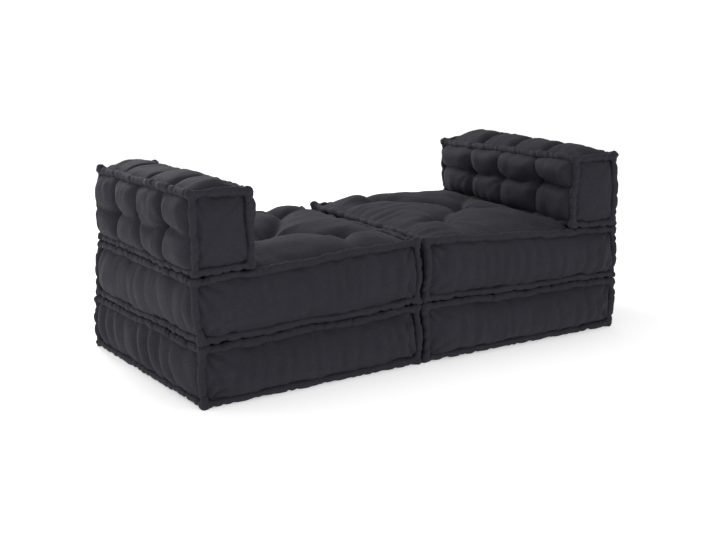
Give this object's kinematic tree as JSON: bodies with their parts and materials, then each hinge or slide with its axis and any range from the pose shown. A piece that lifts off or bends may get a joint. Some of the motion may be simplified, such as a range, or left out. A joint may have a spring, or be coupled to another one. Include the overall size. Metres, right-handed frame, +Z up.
{
  "type": "modular sofa",
  "caption": "Modular floor sofa of stacked stuffed cushions with rolled edges: each module has a base, a tufted seat and a tufted arm that lifts off.",
  "frame": {"origin": "on the floor, in the middle of the footprint", "axes": "+X along the sofa to the sitter's left-hand module, +Y to the back, +Z up; the sitter faces -Y"},
  "size_m": [1.4502, 0.7166, 0.5541],
  "materials": {
    "cover": "matte",
    "rolled_edge": "matte",
    "wadding": "matte",
    "foam": "matte",
    "twine": "matte"
  },
  "bodies": {
    "left_base": {"left_base_foam_core": "foam", "left_base_wadding": "wadding", "left_base_top_panel": "cover", "left_base_bottom_panel": "cover", "left_base_side_panels": "cover", "left_base_top_rolls": "rolled_edge", "left_base_bottom_rolls": "rolled_edge", "left_base_corner_rolls": "rolled_edge", "left_base_tuft_ties": "twine"},
    "left_seat": {"left_seat_foam_core": "foam", "left_seat_wadding": "wadding", "left_seat_top_panel": "cover", "left_seat_bottom_panel": "cover", "left_seat_side_panels": "cover", "left_seat_top_rolls": "rolled_edge", "left_seat_bottom_rolls": "rolled_edge", "left_seat_corner_rolls": "rolled_edge", "left_seat_tuft_ties": "twine"},
    "left_arm": {"left_arm_foam_core": "foam", "left_arm_wadding": "wadding", "left_arm_outer_panel": "cover", "left_arm_inner_panel": "cover", "left_arm_side_panels": "cover", "left_arm_outer_rolls": "rolled_edge", "left_arm_inner_rolls": "rolled_edge", "left_arm_corner_rolls": "rolled_edge", "left_arm_tuft_ties": "twine"},
    "right_base": {"right_base_foam_core": "foam", "right_base_wadding": "wadding", "right_base_top_panel": "cover", "right_base_bottom_panel": "cover", "right_base_side_panels": "cover", "right_base_top_rolls": "rolled_edge", "right_base_bottom_rolls": "rolled_edge", "right_base_corner_rolls": "rolled_edge", "right_base_tuft_ties": "twine"},
    "right_seat": {"right_seat_foam_core": "foam", "right_seat_wadding": "wadding", "right_seat_top_panel": "cover", "right_seat_bottom_panel": "cover", "right_seat_side_panels": "cover", "right_seat_top_rolls": "rolled_edge", "right_seat_bottom_rolls": "rolled_edge", "right_seat_corner_rolls": "rolled_edge", "right_seat_tuft_ties": "twine"},
    "right_arm": {"right_arm_foam_core": "foam", "right_arm_wadding": "wadding", "right_arm_outer_panel": "cover", "right_arm_inner_panel": "cover", "right_arm_side_panels": "cover", "right_arm_outer_rolls": "rolled_edge", "right_arm_inner_rolls": "rolled_edge", "right_arm_corner_rolls": "rolled_edge", "right_arm_tuft_ties": "twine"}
  },
  "joints": [
    {"name": "left_seat_lift", "type": "slide", "parent": "left_base", "child": "left_seat", "axis": [0, 0, 1], "range_m": [0, 0.3]},
    {"name": "left_arm_lift", "type": "slide", "parent": "left_seat", "child": "left_arm", "axis": [0, 0, 1], "range_m": [0, 0.35]},
    {"name": "right_module_pull", "type": "slide", "parent": "left_base", "child": "right_base", "axis": [1, 0, 0], "range_m": [0, 0.5]},
    {"name": "right_seat_lift", "type": "slide", "parent": "right_base", "child": "right_seat", "axis": [0, 0, 1], "range_m": [0, 0.3]},
    {"name": "right_arm_lift", "type": "slide", "parent": "right_seat", "child": "right_arm", "axis": [0, 0, 1], "range_m": [0, 0.35]}
  ]
}
